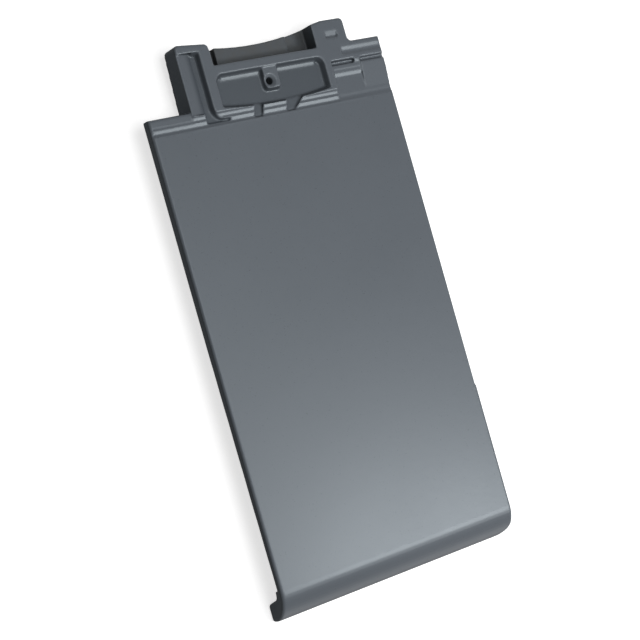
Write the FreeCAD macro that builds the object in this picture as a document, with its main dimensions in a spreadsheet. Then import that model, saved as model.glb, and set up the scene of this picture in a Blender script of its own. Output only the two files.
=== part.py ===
import FreeCAD, Part
import math
import os
import re
import Sketcher
from FreeCAD import Vector

# Left-hand verge roof tile: one pressed and fired clay piece, lying face up.
# Lengths are in millimetres. Across runs from the plain left edge, along from
# the foot, and up from the surface that the lip and the nibs stand on.

DIMENSIONS = [
    ("width", 240, "overall, left edge to the right edge at the foot"),
    ("length", 470, "overall, foot to the head of the right lug"),
    ("lip_depth", 28, "face down to the underside of the foot lip and nibs"),
    ("slab", 11, "thickness of the plain field"),
    ("face_length", 401, "foot to the end of the smooth face"),
    ("front_flat", 0.6, "upright part of the foot, between its roll and its toe"),
    ("lip_thick", 14.5, "foot lip at its toe"),
    ("lip_lean", 5, "how far the back of the lip leans towards the head"),
    ("lip_root", 6, "hollow rounding where the lip meets the underside"),
    ("toe_radius", 2.5, "rounding of the toe of the lip"),
    ("corner_radius", 14, "right-hand corner of the foot, seen from above"),
    ("rim_radius", 2.4, "rounding of the edges of the face"),
    ("lug_rim_radius", 1.8, "rounding of the edges of the raised head"),
    ("lock_step", 1.6, "how far the foot part of the right edge stands out"),
    ("lock_length", 134, "foot part of the right edge"),
    ("edge_thin", 5, "how much thinner the left edge is near the foot"),
    ("edge_thin_length", 320, "run over which the left edge gets its thickness back"),
    ("edge_thin_width", 18, "width of that relief"),
    ("relief", 2, "frame ribs above the face"),
    ("column_left", 39.5, "left edge to the outer wall of the left lug"),
    ("head_depth", 22, "face down to the underside of the head, at its foot end"),
    ("head_taper", 4.5, "how much thinner the head is at its far end"),
    ("crank", 9, "slope from the field underside to the head underside"),
    ("seat_depth", 14, "face down to where the batten lies"),
    ("seat_left", 52, "left edge to the batten recess"),
    ("shoulder_left", 12.5, "left shoulder beyond the face"),
    ("shoulder_right", 48, "right shoulder beyond the face"),
    ("lug_left_back", 1, "outer corner of the left lug, short of the right lug"),
    ("lug_left_slant", 2.8, "how far the left lug's end falls back towards the bay"),
    ("bay_left", 71, "left edge to the bay between the lugs"),
    ("bay_left_back", 8.5, "corner beside the left lug, short of the head"),
    ("bay_arc_back", 6.4, "left end of the bay's curved edge, short of the head"),
    ("bay_radius", 258, "curved head edge between the lugs"),
    ("bay_right", 173, "left edge to the right wall of the bay"),
    ("bay_right_back", 1.9, "right end of the curved edge, short of the head"),
    ("lug_right", 206.5, "left edge to the right side of the right lug"),
    ("lug_fillet", 4, "hollow corner beside the right lug"),
    ("lug_lead", 11, "run over which the right lug's end falls back towards the bay"),
    ("lug_corner", 4, "rounded outer corners of the lugs"),
    ("ledge_depth", 8, "face down to the ledge in the bay"),
    ("ledge_step", 5, "extra depth of the right part of the ledge"),
    ("ledge_step_left", 151, "left edge to the deeper part of the ledge"),
    ("notch_right", 80.5, "left edge to the right side of the notch beside the left lug"),
    ("notch_depth", 6, "extra depth of that notch"),
    ("frame_left", 60.5, "left edge to the frame around the pocket"),
    ("frame_rib", 8.5, "width of the frame's left rib"),
    ("frame_corner", 9, "rounded lower left corner of the frame"),
    ("top_rib", 7.5, "width of the rib between pocket and bay"),
    ("bay_front", 46.5, "end of the face to the front wall of the bay"),
    ("channel_depth", 3, "face down to the floor of the side channel"),
    ("channel_rim", 2.5, "width of the rim that closes the channel on the left"),
    ("channel_bank", 9, "width of the bank that slopes from that rim to the floor"),
    ("channel_draft", 24, "slope of the channel walls, in degrees"),
    ("bank_toe", 3, "how far the bank runs out over the channel floor"),
    ("channel_lead", 6, "straight foot end of the channel beyond its rounded corner"),
    ("channel_front", 4, "end of the face to the foot side of the channel by the frame"),
    ("channel_back", 9, "width of the rib that closes the channel at the head"),
    ("channel_rise", 0.8, "that rim above the face"),
    ("pocket_depth", 3.5, "face down to the pocket floor"),
    ("pocket_front", 11, "end of the face to the pocket"),
    ("pocket_right", 176.5, "left edge to the right wall of the pocket"),
    ("pocket_corner", 7, "rounded corners of the pocket"),
    ("pocket_bow", 360, "curved foot side of the pocket"),
    ("pocket_draft", 26, "slope of the pocket walls, in degrees"),
    ("cove_width", 5.8, "sloping foot of the pocket's back wall"),
    ("cove_rise", 1.9, "height of that slope"),
    ("slot_depth", 2.5, "face down to the floor of the two drain slots"),
    ("slot_one", 97, "left edge to the first slot"),
    ("slot_two", 129, "left edge to the second slot"),
    ("slot_width", 8, "width of the slots at the face"),
    ("slot_slant", 3.5, "how far the slots lean to the right"),
    ("slot_flare", 11, "extra width of the second slot at the pocket"),
    ("nail_across", 120, "left edge to the nail hole"),
    ("nail_along", 26.5, "end of the face to the nail hole"),
    ("nail_radius", 3, "nail hole"),
    ("nail_sink", 6, "radius of the countersink"),
    ("nail_sink_depth", 2, "depth of the countersink"),
    ("boss_rise", 1, "top of the nail boss above the face"),
    ("boss_draft", 22, "slope of the boss sides, in degrees"),
    ("boss_left", 6.5, "nail hole to the straight left side of the boss"),
    ("boss_radius", 8, "rounded foot end of the boss"),
    ("boss_right", 11, "nail hole to the right side of the boss"),
    ("dip_lead", 2, "groove where the face ends, along the tile, on its foot side"),
    ("dip_floor", 1, "floor of that groove beyond the end of the face"),
    ("dip_back", 3, "slope out of that groove on the right shoulder"),
    ("dip_depth", 1, "depth of that groove"),
    ("weather_run", 3.4, "foot side of each weather rib, along the tile"),
    ("weather_rise", 1.25, "height of that sloping side"),
    ("rib_gap", 1, "steep back of each weather rib, along the tile"),
    ("weather_groove", 0.7, "depth of the groove between the two weather ribs"),
    ("plateau_left", 183, "left edge to the right-hand plateau"),
    ("pad_left", 213, "left edge to the wedge-shaped pad"),
    ("landing_dip", 1.2, "depth of the end groove on the right shoulder"),
    ("landing_drop", 0.8, "face down to the right-hand plateau"),
    ("pad_rise", 1.9, "wedge-shaped pad above the face"),
    ("step_rise", 0.9, "low step beside the pad above the face"),
    ("landing_length", 18.8, "end of the face to the slope of the low step"),
    ("step_tread", 2.2, "flat half way up the low step, along the tile"),
    ("step_riser", 1.6, "second slope of the low step, along the tile"),
    ("upper_tread", 3, "flat on the low step, along the tile"),
    ("upper_riser", 2.5, "slope from the low step to the upper landing"),
    ("pad_start", 6, "end of the face to the foot of the pad"),
    ("groove_start", 28.6, "end of the face to the groove across the shoulder"),
    ("groove_wall", 0.8, "steep foot side of that groove, along the tile"),
    ("groove_floor", 2.4, "floor of that groove, along the tile"),
    ("groove_back", 1.2, "slope out of that groove, along the tile"),
    ("step_groove", 2.2, "depth of that groove"),
    ("step_groove_right", 207, "left edge to the end of that groove beside the step"),
    ("valley_left", 196, "left edge to the valley in front of the end rib"),
    ("valley_start", 36.5, "end of the face to the valley"),
    ("valley_slope", 1.9, "foot side of the valley, along the tile"),
    ("valley_floor", 1.9, "floor of the valley, along the tile"),
    ("valley_back", 3.7, "slope out of the valley, along the tile"),
    ("valley_depth", 1.3, "depth of that valley"),
    ("dent_left", 184, "left edge to the shallow dent in the right lug"),
    ("dent_inset", 6, "front wall of the bay to that dent, along the tile"),
    ("dent_across", 13, "that dent, across"),
    ("dent_along", 5.5, "slope up out of that dent, along the tile"),
    ("dent_depth", 1.6, "depth of that dent at its foot side"),
    ("lock_rib", 5, "rib along the underside of the right edge"),
    ("lock_groove", 15, "groove for the neighbour's upstand"),
    ("lock_depth", 6, "depth of that groove"),
    ("nib_width", 34, "hanging nibs"),
    ("nib_thick", 15, "hanging nibs, along the tile"),
    ("nib_front", 43, "end of the face to the front of the nibs"),
    ("nib_left", 60, "left edge to the left nib"),
    ("nib_right", 160, "left edge to the right nib"),
    ("brace_width", 9, "low ribs along the underside"),
    ("brace_depth", 3, "height of those ribs"),
    ("brace_one", 66, "left edge to the middle of the first rib"),
    ("brace_two", 150, "left edge to the middle of the second rib"),
]

doc = FreeCAD.newDocument("verge_roof_tile")
dims = doc.addObject("Spreadsheet::Sheet", "Dims")
for row, (alias, value, meaning) in enumerate(DIMENSIONS, start=1):
    dims.set(f"A{row}", meaning)
    dims.set(f"B{row}", str(value))
    dims.setAlias(f"B{row}", alias)
doc.recompute()

ALIAS = re.compile(r"\b(" + "|".join(alias for alias, _, _ in DIMENSIONS) + r")\b")


def bound(formula):
    """A formula in dimension names, as an expression on the sheet."""
    return ALIAS.sub(r"Dims.\1", formula)


def number(formula):
    return float(dims.evalExpression(bound(formula)))


def new_sketch(body, name, role, offset="0"):
    """A sketch on one of the body's origin planes, moved along its normal."""
    sketch = body.newObject("Sketcher::SketchObject", name)
    plane = next(p for p in body.Origin.OriginFeatures if p.Role == role)
    sketch.AttachmentSupport = [(plane, "")]
    sketch.MapMode = "FlatFace"
    sketch.setExpression("AttachmentOffset.Base.z", bound(offset))
    return sketch


def constrain(sketch, kind, *refs, formula=None):
    """Add a constraint, tied to the sheet where it has a size."""
    if formula is None:
        sketch.addConstraint(Sketcher.Constraint(kind, *refs))
        return
    index = sketch.addConstraint(Sketcher.Constraint(kind, *refs, number(formula)))
    sketch.setExpression(f"Constraints[{index}]", bound(formula))


def pin(sketch, geometry, end, x, y):
    """Hold a point at formulas measured from the sketch origin."""
    constrain(sketch, "DistanceX", -1, 1, geometry, end, formula=x)
    constrain(sketch, "DistanceY", -1, 1, geometry, end, formula=y)


def arc_between(first, last, radius, left):
    """Arc from first to last with its centre to the left of that direction or not."""
    chord = last - first
    reach = math.sqrt(radius ** 2 - (chord.Length / 2) ** 2)
    side = Vector(-chord.y, chord.x, 0).normalize() * (reach if left else -reach)
    centre = first + chord * 0.5 + side
    start, stop = (first, last) if left else (last, first)
    angles = [math.atan2(p.y - centre.y, p.x - centre.x) for p in (start, stop)]
    circle = Part.Circle(centre, Vector(0, 0, 1), radius)
    return Part.ArcOfCircle(circle, angles[0], angles[1]), (1, 2) if left else (2, 1)


def outline(sketch, corners):
    """Draw a closed loop. A corner is (x, y), or (x, y, radius) to round it,
    or (x, y, radius, side) where an arc leads from it to the next corner,
    with its centre on that side of the way there."""
    count = len(corners)
    points = [Vector(number(c[0]), number(c[1]), 0) for c in corners]
    starts, stops, rounds = list(points), list(points), {}
    for i, corner in enumerate(corners):
        if len(corner) != 3:
            continue
        radius = number(corner[2])
        back = (points[i - 1] - points[i]).normalize()
        ahead = (points[(i + 1) % count] - points[i]).normalize()
        run = radius / math.tan(back.getAngle(ahead) / 2)
        starts[i], stops[i] = points[i] + ahead * run, points[i] + back * run
        turns_left = (back * -1).cross(ahead).z > 0
        rounds[i] = arc_between(stops[i], starts[i], radius, turns_left)
    edges = []
    for i, corner in enumerate(corners):
        begin, finish = starts[i], stops[(i + 1) % count]
        if len(corner) == 4:
            shape, ends = arc_between(begin, finish, number(corner[2]), corner[3] == "left")
        else:
            shape, ends = Part.LineSegment(begin, finish), (1, 2)
        edges.append((sketch.addGeometry(shape), ends))
        if len(corner) == 4:
            constrain(sketch, "Radius", edges[-1][0], formula=corner[2])
    for i, corner in enumerate(corners):
        (before, (_, before_end)), (after, (after_end, _)) = edges[i - 1], edges[i]
        if i not in rounds:
            constrain(sketch, "Coincident", before, before_end, after, after_end)
            pin(sketch, after, after_end, corner[0], corner[1])
            continue
        shape, (arc_start, arc_stop) = rounds[i]
        arc = sketch.addGeometry(shape)
        constrain(sketch, "Tangent", before, before_end, arc, arc_start)
        constrain(sketch, "Tangent", after, after_end, arc, arc_stop)
        constrain(sketch, "Radius", arc, formula=corner[2])
        apex = sketch.addGeometry(Part.Point(points[i]), True)
        pin(sketch, apex, 1, corner[0], corner[1])
        constrain(sketch, "PointOnObject", apex, 1, before)
        constrain(sketch, "PointOnObject", apex, 1, after)


def rectangle(sketch, x_low, x_high, y_low, y_high):
    outline(sketch, [(x_low, y_low), (x_high, y_low), (x_high, y_high), (x_low, y_high)])


def feature(body, kind, sketch, length=None, reverse=False, draft=None):
    """Pad or Pocket the sketch; a Pocket with no length goes right through."""
    before = 0 if body.Shape.isNull() else body.Shape.Volume
    made = body.newObject(f"PartDesign::{kind}", sketch.Name.replace("sketch", kind.lower()))
    made.Profile = sketch
    made.Reversed = reverse
    if length is None:
        made.Type = "ThroughAll"
    else:
        made.setExpression("Length", bound(length))
    if draft is not None:
        made.setExpression("TaperAngle", bound(draft))
    body.Tip = made
    doc.recompute()
    grown = made.Shape.Volume - before
    if (grown > 0) != (kind == "Pad") or abs(grown) < 1:
        raise SystemExit(f"{made.Name} changed the volume by {grown:.1f}")
    return made


TOP = "lip_depth + relief"
ROLL = "(lip_depth - toe_radius - front_flat)"
tile = doc.addObject("PartDesign::Body", "verge_tile")
tile.Label = "verge_tile"


def outline_edges(shape, level):
    """The level edges where the surface drops away on one side only."""
    found = []
    for index, edge in enumerate(shape.Edges, start=1):
        box = edge.BoundBox
        at_crank = (box.YMin > number("face_length - crank")
                    and box.YMax < number("face_length") + 1)
        if box.ZLength > 0.01 or abs(box.ZMin - level) > 0.01 or at_crank:
            continue
        half = (edge.FirstParameter + edge.LastParameter) / 2
        under = edge.valueAt(half) + Vector(0, 0, -0.2)
        aside = edge.tangentAt(half).cross(Vector(0, 0, 1)) * 0.2
        solid = [shape.isInside(under + way, 0.01, False) for way in (aside, aside * -1)]
        if solid[0] != solid[1]:
            found.append(f"Edge{index}")
    return found


def rounded_rim(name, level, radius):
    """Round the outline's upper edges at one level."""
    base = tile.Tip
    rim = tile.newObject("PartDesign::Fillet", name)
    rim.Base = (base, outline_edges(base.Shape, number(level)))
    rim.setExpression("Radius", bound(radius))
    tile.Tip = rim
    doc.recompute()
    if not rim.Shape.isValid() or rim.Shape.Volume > base.Shape.Volume:
        raise SystemExit(f"{name} did not round the outline")


def plain_field():
    """The slab with its rounded foot and lip, drawn from the side."""
    side = new_sketch(tile, "field_sketch", "YZ_Plane")
    outline(side, [
        ("0", "0", "toe_radius"),
        ("lip_thick", "0", "toe_radius"),
        ("lip_thick + lip_lean", "lip_depth - slab", "lip_root"),
        ("face_length + shoulder_right", "lip_depth - slab"),
        ("face_length + shoulder_right", "lip_depth"),
        (ROLL, "lip_depth", ROLL, "left"),
        ("0", "toe_radius + front_flat"),
    ])
    feature(tile, "Pad", side, "width")
    shoulder = new_sketch(tile, "left_shoulder_sketch", "XY_Plane", "lip_depth + 1")
    rectangle(shoulder, "-1", "column_left",
              "face_length + shoulder_left", "face_length + shoulder_right + 1")
    feature(tile, "Pocket", shoulder)
    rounded_rim("face_rim", "lip_depth", "rim_radius")
    step = new_sketch(tile, "step_sketch", "XY_Plane", "lip_depth + 1")
    rectangle(step, "width - lock_step", "width + 1", "lock_length", "length + 1")
    feature(tile, "Pocket", step)
    corner = new_sketch(tile, "corner_sketch", "XY_Plane", "lip_depth + 1")
    outline(corner, [
        ("width - corner_radius", "0", "corner_radius", "left"),
        ("width", "corner_radius"),
        ("width + 1", "corner_radius"),
        ("width + 1", "-1"),
        ("width - corner_radius", "-1"),
    ])
    feature(tile, "Pocket", corner)


def head_block():
    """The thicker head, which cranks down below the field."""
    side = new_sketch(tile, "head_sketch", "YZ_Plane", "column_left")
    outline(side, [
        ("face_length - crank", "lip_depth - slab"),
        ("face_length", "lip_depth - head_depth"),
        ("length", "lip_depth - head_depth + head_taper"),
        ("length", TOP),
        ("face_length", TOP),
        ("face_length - crank", "lip_depth - slab / 2"),
    ])
    feature(tile, "Pad", side, "lug_right + lug_fillet - column_left")
    shoulder = new_sketch(tile, "shoulder_sketch", "XY_Plane", "lip_depth - slab")
    rectangle(shoulder, "column_left", "width - lock_step",
              "face_length + 0.1", "face_length + shoulder_right")
    feature(tile, "Pad", shoulder, "slab + relief")


def plan_outline():
    """Cut the head to its lugs, bay and shoulders."""
    left = new_sketch(tile, "left_gap_sketch", "XY_Plane", TOP + " + 1")
    outline(left, [
        ("-1", "face_length + shoulder_left"),
        ("column_left", "face_length + shoulder_left"),
        ("column_left", "length - lug_left_back", "lug_corner"),
        ("bay_left", "length - lug_left_back - lug_left_slant", "lug_corner"),
        ("bay_left", "length - bay_left_back"),
        ("notch_right", "length - bay_arc_back", "bay_radius", "left"),
        ("bay_right + 1", "length - bay_right_back"),
        ("bay_right + lug_lead", "length"),
        ("bay_right + lug_lead", "length + 1"),
        ("-1", "length + 1"),
    ])
    feature(tile, "Pocket", left)
    right = new_sketch(tile, "right_gap_sketch", "XY_Plane", TOP + " + 1")
    outline(right, [
        ("lug_right", "face_length + shoulder_right", "lug_fillet"),
        ("width + 1", "face_length + shoulder_right"),
        ("width + 1", "length + 1"),
        ("lug_right - lug_corner", "length + 1"),
        ("lug_right - lug_corner", "length", "lug_corner", "right"),
        ("lug_right", "length - lug_corner"),
    ])
    feature(tile, "Pocket", right)
    rounded_rim("lug_rim", TOP, "min(lug_rim_radius; relief * 0.9)")


def underside():
    """Batten recess, hanging nibs, side lock, thinner left edge and low ribs."""
    seat = new_sketch(tile, "seat_sketch", "XY_Plane")
    rectangle(seat, "seat_left", "width + 1", "face_length - crank - 1",
              "face_length + nib_front")
    feature(tile, "Pocket", seat, "lip_depth - seat_depth", reverse=True)
    for name, left in (("left_nib", "nib_left"), ("right_nib", "nib_right")):
        nib = new_sketch(tile, name + "_sketch", "XY_Plane")
        rectangle(nib, left, left + " + nib_width", "face_length + nib_front",
                  "face_length + nib_front + nib_thick")
        feature(tile, "Pad", nib, "lip_depth - seat_depth")
    lock = new_sketch(tile, "lock_sketch", "XY_Plane", "lip_depth - slab")
    rectangle(lock, "width - lock_step - lock_rib - lock_groove",
              "width - lock_step - lock_rib", "lip_thick + lip_root + lip_lean", "length")
    feature(tile, "Pocket", lock, "lock_depth", reverse=True)
    edge = new_sketch(tile, "edge_sketch", "YZ_Plane", "edge_thin_width")
    outline(edge, [
        ("lip_thick + lip_lean + lip_root", "lip_depth - slab"),
        ("edge_thin_length + lip_root", "lip_depth - slab"),
        ("lip_thick + lip_lean + lip_root", "lip_depth - slab + edge_thin"),
    ])
    feature(tile, "Pocket", edge, "edge_thin_width")
    for name, middle in (("first_brace", "brace_one"), ("second_brace", "brace_two")):
        brace = new_sketch(tile, name + "_sketch", "XY_Plane", "lip_depth - slab - brace_depth")
        rectangle(brace, middle + " - brace_width / 2", middle + " + brace_width / 2",
                  "lip_thick", "face_length - crank")
        feature(tile, "Pad", brace, "brace_depth + 0.5")


def weather_ribs():
    """Two low ribs across the end of the face, from the left edge to the frame."""
    side = new_sketch(tile, "weather_sketch", "YZ_Plane", "plateau_left")
    first = "lip_depth - dip_depth + weather_rise"
    second = "face_length + weather_run + rib_gap"
    outline(side, [
        ("face_length - dip_lead", "lip_depth"),
        ("face_length - dip_lead / 3", "lip_depth - dip_depth"),
        ("face_length", "lip_depth - dip_depth"),
        ("face_length + weather_run", first),
        (second, first + " - weather_groove"),
        (second + " + weather_run", first + " - weather_groove + weather_rise"),
        (second + " + weather_run + rib_gap", TOP),
        (second + " + weather_run + rib_gap", TOP + " + 1"),
        ("face_length - dip_lead", TOP + " + 1"),
    ])
    feature(tile, "Pocket", side, "plateau_left")


def right_shoulder():
    """Plateau, low step, wedge-shaped pad and end rib of the right shoulder."""
    def profile(name, right, width, places):
        """Cut down to a line of (distance beyond the last place, level) along the tile."""
        side = new_sketch(tile, name, "YZ_Plane", right)
        along, corners = "face_length", []
        for advance, level in places:
            along += " + " + advance
            corners.append((along, level))
        outline(side, corners + [(along, TOP + " + 1"), (corners[0][0], TOP + " + 1")])
        feature(tile, "Pocket", side, width)

    foot_side = [
        ("-dip_lead", "lip_depth"),
        ("dip_lead + dip_floor", "lip_depth - landing_dip"),
        ("dip_back", "lip_depth - landing_drop"),
    ]
    passed = "(dip_floor + dip_back)"
    profile("landing_sketch", "pad_left", "pad_left - plateau_left", foot_side + [
        ("landing_length - " + passed, "lip_depth - landing_drop"),
        ("weather_run", "lip_depth + step_rise / 2"),
        ("step_tread", "lip_depth + step_rise / 2"),
        ("step_riser", "lip_depth + step_rise"),
        ("upper_tread", "lip_depth + step_rise"),
        ("upper_riser", TOP),
    ])
    profile("pad_sketch", "width + 1", "width + 1 - pad_left", foot_side + [
        ("pad_start - " + passed, "lip_depth - landing_drop"),
        ("groove_start - pad_start", "lip_depth + pad_rise"),
        ("groove_wall", "lip_depth + pad_rise - step_groove"),
        ("groove_floor", "lip_depth + pad_rise - step_groove"),
        ("groove_back", TOP),
    ])
    profile("step_groove_sketch", "step_groove_right", "step_groove_right - plateau_left", [
        ("groove_start", "lip_depth + step_rise"),
        ("groove_wall", "lip_depth + step_rise - step_groove"),
        ("groove_floor", "lip_depth + step_rise - step_groove"),
        ("groove_back", TOP),
    ])
    profile("valley_sketch", "width + 1", "width + 1 - valley_left", [
        ("valley_start", TOP),
        ("valley_slope", TOP + " - valley_depth"),
        ("valley_floor", TOP + " - valley_depth"),
        ("valley_back", TOP),
    ])
    profile("dent_sketch", "dent_left + dent_across", "dent_across", [
        ("bay_front + dent_inset", TOP),
        ("dent_depth", TOP + " - dent_depth"),
        ("dent_along", TOP),
    ])


def side_channel():
    """Channel down the left lug: an outer rim, a sloping bank and a steep inner wall."""
    floor = new_sketch(tile, "channel_sketch", "XY_Plane", TOP)
    back = "length - channel_back"
    low_side = "column_left + channel_rim + channel_bank"
    lead = "frame_left + frame_corner + channel_lead"
    outline(floor, [
        (low_side, "face_length - dip_lead / 2"),
        (lead, "face_length - dip_lead / 2"),
        (lead, "face_length + channel_front"),
        ("frame_left", "face_length + channel_front", "frame_corner"),
        ("frame_left", back),
        (low_side, back),
    ])
    feature(tile, "Pocket", floor, "relief + channel_depth", draft="-channel_draft")
    begin = "(face_length + (weather_run + rib_gap) * 2)"
    bank = new_sketch(tile, "channel_bank_sketch", "XZ_Plane", "-" + begin)
    outline(bank, [
        ("column_left - 1", "lip_depth + channel_rise"),
        ("column_left + channel_rim", "lip_depth + channel_rise"),
        (low_side + " + bank_toe", "lip_depth - channel_depth"),
        (low_side + " + bank_toe", TOP + " + 1"),
        ("column_left - 1", TOP + " + 1"),
    ])
    feature(tile, "Pocket", bank, f"{back} - {begin}")


def framed_pocket():
    """Pocket inside the frame, its two drain slots and the bay behind it."""
    pocket = new_sketch(tile, "pocket_sketch", "XY_Plane", TOP)
    outline(pocket, [
        ("frame_left + frame_rib", "face_length + pocket_front", "pocket_bow", "left"),
        ("pocket_right", "face_length + pocket_front"),
        ("pocket_right", "face_length + bay_front - top_rib", "pocket_corner"),
        ("frame_left + frame_rib", "face_length + bay_front - top_rib", "pocket_corner"),
    ])
    feature(tile, "Pocket", pocket, "relief + pocket_depth", draft="-pocket_draft")
    cove = new_sketch(tile, "cove_sketch", "YZ_Plane", "pocket_right - pocket_corner")
    back, low = "face_length + bay_front - top_rib", "lip_depth - pocket_depth"
    outline(cove, [
        (back + " - cove_width", low),
        (back, low + " + cove_rise"),
        (back, low + " - 1"),
        (back + " - cove_width", low + " - 1"),
    ])
    feature(tile, "Pad", cove, "pocket_right - frame_left - frame_rib - pocket_corner * 2",
            reverse=True)
    for name, left, flare in (("slot_one", "slot_one", "0"),
                              ("slot_two", "slot_two", "slot_flare")):
        slot = new_sketch(tile, name + "_sketch", "XY_Plane", TOP + " + 1")
        front, back = "face_length - dip_lead / 2", "face_length + pocket_front + 2"
        outline(slot, [
            (left, front),
            (left + " + slot_width", front),
            (f"{left} + slot_width + slot_slant + {flare}", back),
            (left + " + slot_slant", back),
        ])
        feature(tile, "Pocket", slot, "relief + 1 + slot_depth")
    ledge = new_sketch(tile, "ledge_sketch", "XY_Plane", TOP + " + 1")
    rectangle(ledge, "bay_left", "bay_right", "face_length + bay_front", "length + 1")
    feature(tile, "Pocket", ledge, "relief + 1 + ledge_depth")
    deeper = new_sketch(tile, "ledge_step_sketch", "XY_Plane", TOP + " + 1")
    rectangle(deeper, "ledge_step_left", "bay_right", "face_length + bay_front", "length + 1")
    feature(tile, "Pocket", deeper, "relief + 1 + ledge_depth + ledge_step")
    notch = new_sketch(tile, "notch_sketch", "XY_Plane", TOP + " + 1")
    rectangle(notch, "bay_left", "notch_right", "face_length + bay_front", "length + 1")
    feature(tile, "Pocket", notch, "relief + 1 + ledge_depth + notch_depth")


def nail_boss():
    """Raised boss joined to the rear rib, with a countersunk nail hole."""
    across, along = "nail_across", "face_length + nail_along"
    boss = new_sketch(tile, "boss_sketch", "XY_Plane", "lip_depth - pocket_depth - 0.5")
    outline(boss, [
        (f"{across} - boss_left", f"{along} - boss_radius", "boss_radius / 2"),
        (f"{across} + boss_right", f"{along} - boss_radius", "boss_radius / 2"),
        (f"{across} + boss_right", "face_length + bay_front - top_rib + 1"),
        (f"{across} - boss_left", "face_length + bay_front - top_rib + 1"),
    ])
    feature(tile, "Pad", boss, "pocket_depth + 0.5 + boss_rise", draft="-boss_draft")
    sink = new_sketch(tile, "sink_sketch", "XY_Plane", "lip_depth + boss_rise")
    ring = sink.addGeometry(Part.Circle(Vector(number(across), number(along), 0),
                                        Vector(0, 0, 1), number("nail_sink")))
    pin(sink, ring, 3, across, along)
    constrain(sink, "Radius", ring, formula="nail_sink")
    slope = "-atan((nail_sink - nail_radius) / nail_sink_depth)"
    feature(tile, "Pocket", sink, "nail_sink_depth", draft=slope)
    hole = new_sketch(tile, "hole_sketch", "XY_Plane", TOP)
    ring = hole.addGeometry(Part.Circle(Vector(number(across), number(along), 0),
                                        Vector(0, 0, 1), number("nail_radius")))
    pin(hole, ring, 3, across, along)
    constrain(hole, "Radius", ring, formula="nail_radius")
    feature(tile, "Pocket", hole)


plain_field()
head_block()
plan_outline()
underside()
weather_ribs()
right_shoulder()
side_channel()
framed_pocket()
nail_boss()
tile.setExpression("Placement.Base.x", bound("-width / 2"))
tile.setExpression("Placement.Base.y", bound("-length / 2"))
doc.recompute()

for item in doc.Objects:
    if "Invalid" in item.State or "Error" in item.State:
        raise SystemExit(f"{item.Name} failed: {item.State}")
if tile.Shape.isNull() or not tile.Shape.isValid() or len(tile.Shape.Solids) != 1:
    raise SystemExit("the tile is not one valid solid")

os.makedirs("parts", exist_ok=True)
tile.Shape.exportStep("parts/verge_tile.step")
box = tile.Shape.BoundBox
print("size", round(box.XLength, 2), round(box.YLength, 2), round(box.ZLength, 2),
      "volume", round(tile.Shape.Volume / 1000, 1), "cm3")
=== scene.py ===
from math import radians

import bpy
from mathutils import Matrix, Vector


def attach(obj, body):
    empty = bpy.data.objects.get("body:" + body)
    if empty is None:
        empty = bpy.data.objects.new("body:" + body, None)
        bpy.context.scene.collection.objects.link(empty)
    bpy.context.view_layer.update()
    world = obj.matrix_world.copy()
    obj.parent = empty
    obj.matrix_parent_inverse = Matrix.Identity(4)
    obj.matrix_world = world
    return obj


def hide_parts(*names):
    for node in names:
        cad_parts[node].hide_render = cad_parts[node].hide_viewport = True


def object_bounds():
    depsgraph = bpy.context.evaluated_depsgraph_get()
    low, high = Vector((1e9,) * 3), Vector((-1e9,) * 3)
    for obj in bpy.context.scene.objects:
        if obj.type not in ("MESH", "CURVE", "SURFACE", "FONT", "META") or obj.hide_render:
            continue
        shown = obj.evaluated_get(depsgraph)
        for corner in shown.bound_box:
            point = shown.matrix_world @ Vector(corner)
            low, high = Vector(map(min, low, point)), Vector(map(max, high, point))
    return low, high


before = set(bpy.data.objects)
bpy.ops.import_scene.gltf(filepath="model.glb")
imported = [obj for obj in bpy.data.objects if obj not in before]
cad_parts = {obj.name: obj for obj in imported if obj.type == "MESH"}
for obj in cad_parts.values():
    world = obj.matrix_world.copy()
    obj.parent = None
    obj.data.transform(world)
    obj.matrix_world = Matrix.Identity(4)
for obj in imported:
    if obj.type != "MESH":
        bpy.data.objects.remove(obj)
cad_low, cad_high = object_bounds()


# Camera. A long lens looks down over the verge edge of the tile, which lies face up, with its head
# towards the top left of the view and its rounded foot towards the bottom.

LENS_MM = 90.0
SENSOR_MM = 36.0
NEAREST, FARTHEST = 0.05, 20.0
CAMERA_PLACE = (-0.7063, -0.0116, 1.1545)
CAMERA_TURN_DEG = (9.50, -30.16, -18.32)

camera_data = bpy.data.cameras.new("camera")
camera_data.lens = LENS_MM
camera_data.sensor_width = SENSOR_MM
camera_data.clip_start = NEAREST
camera_data.clip_end = FARTHEST
camera = bpy.data.objects.new("camera", camera_data)
camera.location = CAMERA_PLACE
camera.rotation_euler = [radians(turn) for turn in CAMERA_TURN_DEG]
bpy.context.scene.collection.objects.link(camera)
bpy.context.scene.camera = camera


# The tile. One piece of clay, pressed between two plaster moulds, dried, sprayed with slate-grey
# engobe on the weather side and fired. Its surface is cast over the verge_tile solid, with every
# edge softened as the mould and the engobe leave it.

MERGE = 0.000002
VOXEL = 0.0007
SOFTEN_STEPS = 2
SOFTEN_FACTOR = 0.5
TRIANGLE_BUDGET = 180000
CREASE_ANGLE = radians(50)

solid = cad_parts["verge_tile"]
tile = bpy.data.objects.new("tile", solid.data.copy())
bpy.context.scene.collection.objects.link(tile)
bpy.ops.object.select_all(action="DESELECT")
tile.select_set(True)
bpy.context.view_layer.objects.active = tile
bpy.ops.object.mode_set(mode="EDIT")
bpy.ops.mesh.select_all(action="SELECT")
bpy.ops.mesh.remove_doubles(threshold=MERGE)
bpy.ops.mesh.normals_make_consistent(inside=False)
bpy.ops.object.mode_set(mode="OBJECT")

pressed = tile.modifiers.new("pressed", "REMESH")
pressed.mode = "VOXEL"
pressed.voxel_size = VOXEL
pressed.use_smooth_shade = True
bpy.ops.object.modifier_apply(modifier=pressed.name)

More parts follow.
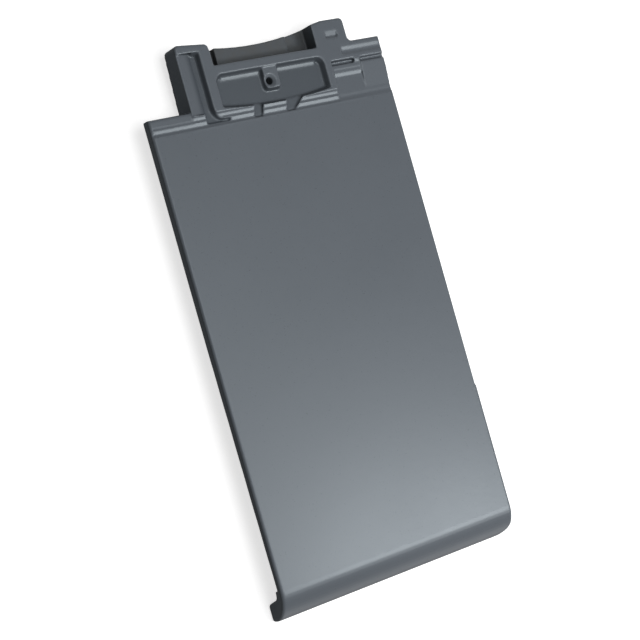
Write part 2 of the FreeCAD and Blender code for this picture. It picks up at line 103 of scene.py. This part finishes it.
softened = tile.modifiers.new("softened", "SMOOTH")
softened.factor = SOFTEN_FACTOR
softened.iterations = SOFTEN_STEPS
bpy.ops.object.modifier_apply(modifier=softened.name)

thinned = tile.modifiers.new("thinned", "DECIMATE")
thinned.ratio = TRIANGLE_BUDGET / (2 * len(tile.data.polygons))
bpy.ops.object.modifier_apply(modifier=thinned.name)
bpy.ops.object.shade_smooth_by_angle(angle=CREASE_ANGLE)


class Wire:
    """A shader tree's output socket: sums and products of wires add the Math nodes."""

    def __init__(self, tree, socket=None):
        self.tree = tree
        self.socket = socket

    def node(self, kind, settings=None, sockets=None, out=0):
        """Add a node, with its settings first and then the values or wires of its sockets."""
        made = self.tree.nodes.new("ShaderNode" + kind)
        for name, value in (settings or {}).items():
            setattr(made, name, value)
        for name, value in (sockets or {}).items():
            self.feed(made.inputs[name], value)
        return Wire(self.tree, made.outputs[out])

    def beside(self, name):
        """Another output of the node that this wire leaves."""
        return Wire(self.tree, self.socket.node.outputs[name])

    def feed(self, entry, value):
        if isinstance(value, Wire):
            self.tree.links.new(value.socket, entry)
        else:
            entry.default_value = value

    def maths(self, operation, first, second):
        return self.node("Math", {"operation": operation}, {0: first, 1: second})

    def __add__(self, other):
        return self.maths("ADD", self, other)

    __radd__ = __add__

    def __mul__(self, other):
        return self.maths("MULTIPLY", self, other)

    __rmul__ = __mul__

    def __sub__(self, other):
        return self.maths("SUBTRACT", self, other)

    def __rsub__(self, other):
        return self.maths("SUBTRACT", other, self)

    def step(self, low, high):
        """0 below low, 1 above high and smooth between them."""
        return self.node("MapRange", {"interpolation_type": "SMOOTHSTEP"},
                         {"Value": self, "From Min": low, "From Max": high})

    def between(self, low, high, blur):
        """1 from low to high and 0 beyond them, over a blurred edge."""
        return (self.step(low - blur, low + blur)
                * (1.0 - self.step(high - blur, high + blur)))

    def blend(self, first, second):
        """The colour first where this wire is 0 and second where it is 1."""
        return self.node("Mix", {"data_type": "RGBA"}, {0: self, 6: first, 7: second}, out=2)

    def noise(self, place, scale, detail, roughness=0.5):
        return self.node("TexNoise", {}, {"Vector": place, "Scale": scale, "Detail": detail,
                                          "Roughness": roughness})


# Finish of the weather side: a satin slate engobe with a cool sheen, a little cloudy and with
# fine pores, paler where edges are worn.

SLATE = (0.066, 0.075, 0.087, 1.0)
SLATE_PALE = (0.110, 0.122, 0.138, 1.0)
# The deep slate is painted shade in hollows and sunken floors, and the colour of the pores.
SLATE_SHADE_AND_PORES = (0.020, 0.025, 0.031, 1.0)
SHEEN_TINT = (0.86, 0.95, 1.0, 1.0)
SHEEN_LEVEL = 0.32
CLOUD_SCALE, MOTTLE_SCALE, GRAIN_SCALE, PORE_SCALE = 9.0, 160.0, 1500.0, 700.0
CLOUD_PALE, MOTTLE_PALE, WORN_PALE = 0.05, 0.03, 0.2

engobe = bpy.data.materials.new("slate_engobe")
engobe.use_nodes = True
shader = engobe.node_tree.nodes["Principled BSDF"]
base = Wire(engobe.node_tree)
place = base.node("TexCoord", out="Object")
along_x = base.node("SeparateXYZ", {}, {"Vector": place}, out="X")
along_y = along_x.beside("Y")
height = along_x.beside("Z")
normal = base.node("NewGeometry", out="Normal")
facing = base.node("SeparateXYZ", {}, {"Vector": normal}, out="Z")
edge = normal.beside("Pointiness")

cloud = base.noise(place, CLOUD_SCALE, 3.0).step(0.3, 0.7)
mottle = base.noise(place, MOTTLE_SCALE, 3.0, 0.6).step(0.25, 0.75)
grain = base.noise(place, GRAIN_SCALE, 2.0, 0.6)
pores = base.noise(place, PORE_SCALE, 1.0).step(0.70, 0.76)
worn = edge.step(0.515, 0.56)
pale = cloud * CLOUD_PALE + mottle * MOTTLE_PALE + worn * WORN_PALE
colour = pale.blend(SLATE, SLATE_PALE)

# Painted shade: the head's grooves and hollows, its sunken floors and the upright walls are
# painted darker, where shade falls on them. The pores are darker too.

WALL_SHADE = (0.011, 0.014, 0.017, 1.0)
FACE_LENGTH = 0.401
HEAD_RELIEF = 0.002
HEAD_STARTS, HEAD_IS_FULL = 0.003, 0.001
SUNK_STARTS = 0.002
DEEP_SUNK, SHALLOW_SUNK = 0.0030, 0.0008
RECESS_SHADE_DARK, HEAD_RECESS_SHADE_DARK, PORE_DARK = 0.45, 0.4, 0.4
WALL_SHADE_SHARE, SUNKEN_SHADE_SHARE = 0.95, 0.55
face_end = cad_low[1] + FACE_LENGTH
face_level = cad_high[2] - HEAD_RELIEF

in_head = along_y.step(face_end - HEAD_STARTS, face_end - HEAD_IS_FULL)
# Painted shade in the grooves and hollows, deeper still in the head, plus the darker pores.
recess_shade = 1.0 - edge.step(0.44, 0.495)
shade_and_pores = recess_shade * (RECESS_SHADE_DARK + in_head * HEAD_RECESS_SHADE_DARK) + pores * PORE_DARK
colour = shade_and_pores.blend(colour, SLATE_SHADE_AND_PORES)
# Painted shade on the upright walls, which are made darker whichever way they face.
upright = 1.0 - facing.step(0.1, 0.8)
colour = (upright * WALL_SHADE_SHARE).blend(colour, WALL_SHADE)
# Painted shade on the head's floors that lie below the face.
sunken_shade = along_y.step(face_end, face_end + SUNK_STARTS) * (
    1.0 - height.step(face_level - DEEP_SUNK, face_level - SHALLOW_SUNK))
colour = (sunken_shade * SUNKEN_SHADE_SHARE).blend(colour, SLATE_SHADE_AND_PORES)

# The bay between the lugs has only a thin, patchy coat, because the next tile covers it.

THIN_ENGOBE = (0.042, 0.043, 0.043, 1.0)
BAY_LEFT, BAY_RIGHT = 0.071, 0.173
FACE_TO_BAY = 0.0465
LEDGE_DEPTH = 0.008
THIN_UP_TO, FULL_FROM = 0.002, 0.006
BLUR = 0.001
PATCH_SCALE = 90.0
THIN_SHARE, PATCH_SHARE = 0.45, 0.4
bay_front = face_end + FACE_TO_BAY
ledge_level = face_level - LEDGE_DEPTH

across_bay = along_x.between(cad_low[0] + BAY_LEFT, cad_low[0] + BAY_RIGHT, BLUR)
in_bay = (across_bay * along_y.step(bay_front - BLUR, bay_front + BLUR)
          * (1.0 - height.step(ledge_level + THIN_UP_TO, ledge_level + FULL_FROM)))
patchy = base.noise(place, PATCH_SCALE, 3.0, 0.6).step(0.35, 0.65)
colour = (in_bay * (THIN_SHARE + patchy * PATCH_SHARE)).blend(colour, THIN_ENGOBE)

# The underside is bare fired clay, with the engobe's overspray fading out under the edges.

BARE_CLAY = (0.150, 0.098, 0.076, 1.0)
BARE_CLAY_DARK = (0.085, 0.058, 0.048, 1.0)
CLAY_SCALE, OVERSPRAY_SCALE = 120.0, 45.0
OVERSPRAY_DRIFT = 0.5

clay_tone = base.noise(place, CLAY_SCALE, 4.0, 0.6).step(0.3, 0.7)
clay = clay_tone.blend(BARE_CLAY, BARE_CLAY_DARK)
overspray = base.noise(place, OVERSPRAY_SCALE, 3.0) * OVERSPRAY_DRIFT - OVERSPRAY_DRIFT / 2
bare = 1.0 - (facing + overspray).step(-0.55, -0.2)
colour = bare.blend(colour, clay)

# Satin on the face, matt on the walls, in the bay and underneath, with a faint relief.

SATIN = 0.335
CLOUD_MATT, MOTTLE_MATT, WALL_MATT, BAY_MATT = 0.02, 0.01, 0.45, 0.2
CLAY_MATT, CLAY_EVENNESS = 0.4, 0.2
FINE_DEPTH, SOFT_DEPTH = 0.0002, 0.0006
FINE_STRENGTH, SOFT_STRENGTH = 0.03, 0.02
PORE_DEPTH = -1.5

roughness = (SATIN + cloud * CLOUD_MATT + mottle * MOTTLE_MATT + upright * WALL_MATT
             + in_bay * BAY_MATT)
roughness = roughness + bare * CLAY_MATT - roughness * bare * CLAY_EVENNESS
fine_relief = base.node("Bump", {}, {"Strength": FINE_STRENGTH, "Distance": FINE_DEPTH,
                                     "Height": grain + pores * PORE_DEPTH})
soft_relief = base.node("Bump", {}, {"Strength": SOFT_STRENGTH, "Distance": SOFT_DEPTH,
                                     "Height": mottle + bare * clay_tone,
                                     "Normal": fine_relief})
base.feed(shader.inputs["Base Color"], colour)
base.feed(shader.inputs["Roughness"], roughness)
base.feed(shader.inputs["Normal"], soft_relief)
shader.inputs["Specular IOR Level"].default_value = SHEEN_LEVEL
shader.inputs["Specular Tint"].default_value = SHEEN_TINT
tile.data.materials.clear()
tile.data.materials.append(engobe)

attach(tile, "root")
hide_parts("verge_tile")


# The studio. A plain white table that the tile lies on, and a white room around it. The camera
# and reflections see both as white, and they throw little of that back on the tile.

FLOOR_HALF = 6.0
PAPER_ROUGHNESS = 0.9
PAPER_SEEN = (0.6, 0.6, 0.6, 1.0)
PAPER_BOUNCE = (0.2, 0.2, 0.2, 1.0)
NO_GLOW = (0.0, 0.0, 0.0, 1.0)
GLOW_NEAR = (0.68, 0.68, 0.68, 1.0)
GLOW_FAR = (1.0, 1.0, 1.0, 1.0)
NEAR_REACH, FAR_REACH = 0.35, 1.5
ROOM_WHITE = (1.0, 1.0, 1.0, 1.0)
ROOM_LIGHT = 0.18


def seen_rays(wire):
    """1 for a ray from the camera, off gloss or through glass, and 0 for any other."""
    camera_ray = wire.node("LightPath", out="Is Camera Ray")
    glossy_ray = camera_ray.beside("Is Glossy Ray")
    glass_ray = camera_ray.beside("Is Transmission Ray")
    return (camera_ray + glossy_ray + glass_ray).step(0.0, 1.0)


bpy.ops.object.select_all(action="DESELECT")
bpy.ops.mesh.primitive_plane_add(size=2 * FLOOR_HALF, location=(0, 0, 0))
floor = bpy.context.object
floor.name = "floor"
paper = bpy.data.materials.new("white_paper")
paper.use_nodes = True
paper_shader = paper.node_tree.nodes["Principled BSDF"]
table = Wire(paper.node_tree)
seen = seen_rays(table)
from_tile = table.node("VectorMath", {"operation": "LENGTH"},
                       {0: table.node("TexCoord", out="Object")}, out="Value")
glow = from_tile.step(NEAR_REACH, FAR_REACH).blend(GLOW_NEAR, GLOW_FAR)
table.feed(paper_shader.inputs["Base Color"], seen.blend(PAPER_BOUNCE, PAPER_SEEN))
table.feed(paper_shader.inputs["Emission Color"], seen.blend(NO_GLOW, glow))
paper_shader.inputs["Emission Strength"].default_value = 1.0
paper_shader.inputs["Roughness"].default_value = PAPER_ROUGHNESS
floor.data.materials.append(paper)

world = bpy.data.worlds.new("room")
bpy.context.scene.world = world
world.use_nodes = True
room = Wire(world.node_tree)
backdrop = world.node_tree.nodes["Background"]
backdrop.inputs["Color"].default_value = ROOM_WHITE
room.feed(backdrop.inputs["Strength"], ROOM_LIGHT + seen_rays(room) * (1.0 - ROOM_LIGHT))


# The lamps. A soft box stands beyond the side lock and the foot, and a larger one hangs overhead.

def soft_box(name, place, aim, side, watts):
    data = bpy.data.lights.new(name, "AREA")
    data.shape = "RECTANGLE"
    data.size = data.size_y = side
    data.energy = watts
    lamp = bpy.data.objects.new(name, data)
    lamp.location = place
    toward = Vector(aim) - Vector(place)
    lamp.rotation_euler = toward.to_track_quat("-Z", "Y").to_euler()
    bpy.context.scene.collection.objects.link(lamp)


soft_box("key_box", place=(0.90, -0.58, 1.34), aim=(0.0, -0.1, 0.0), side=0.4, watts=19.0)
soft_box("top_box", place=(0.1, -0.1, 2.0), aim=(0.0, 0.0, 0.0), side=1.4, watts=24.0)

bpy.context.scene.view_settings.view_transform = "Standard"
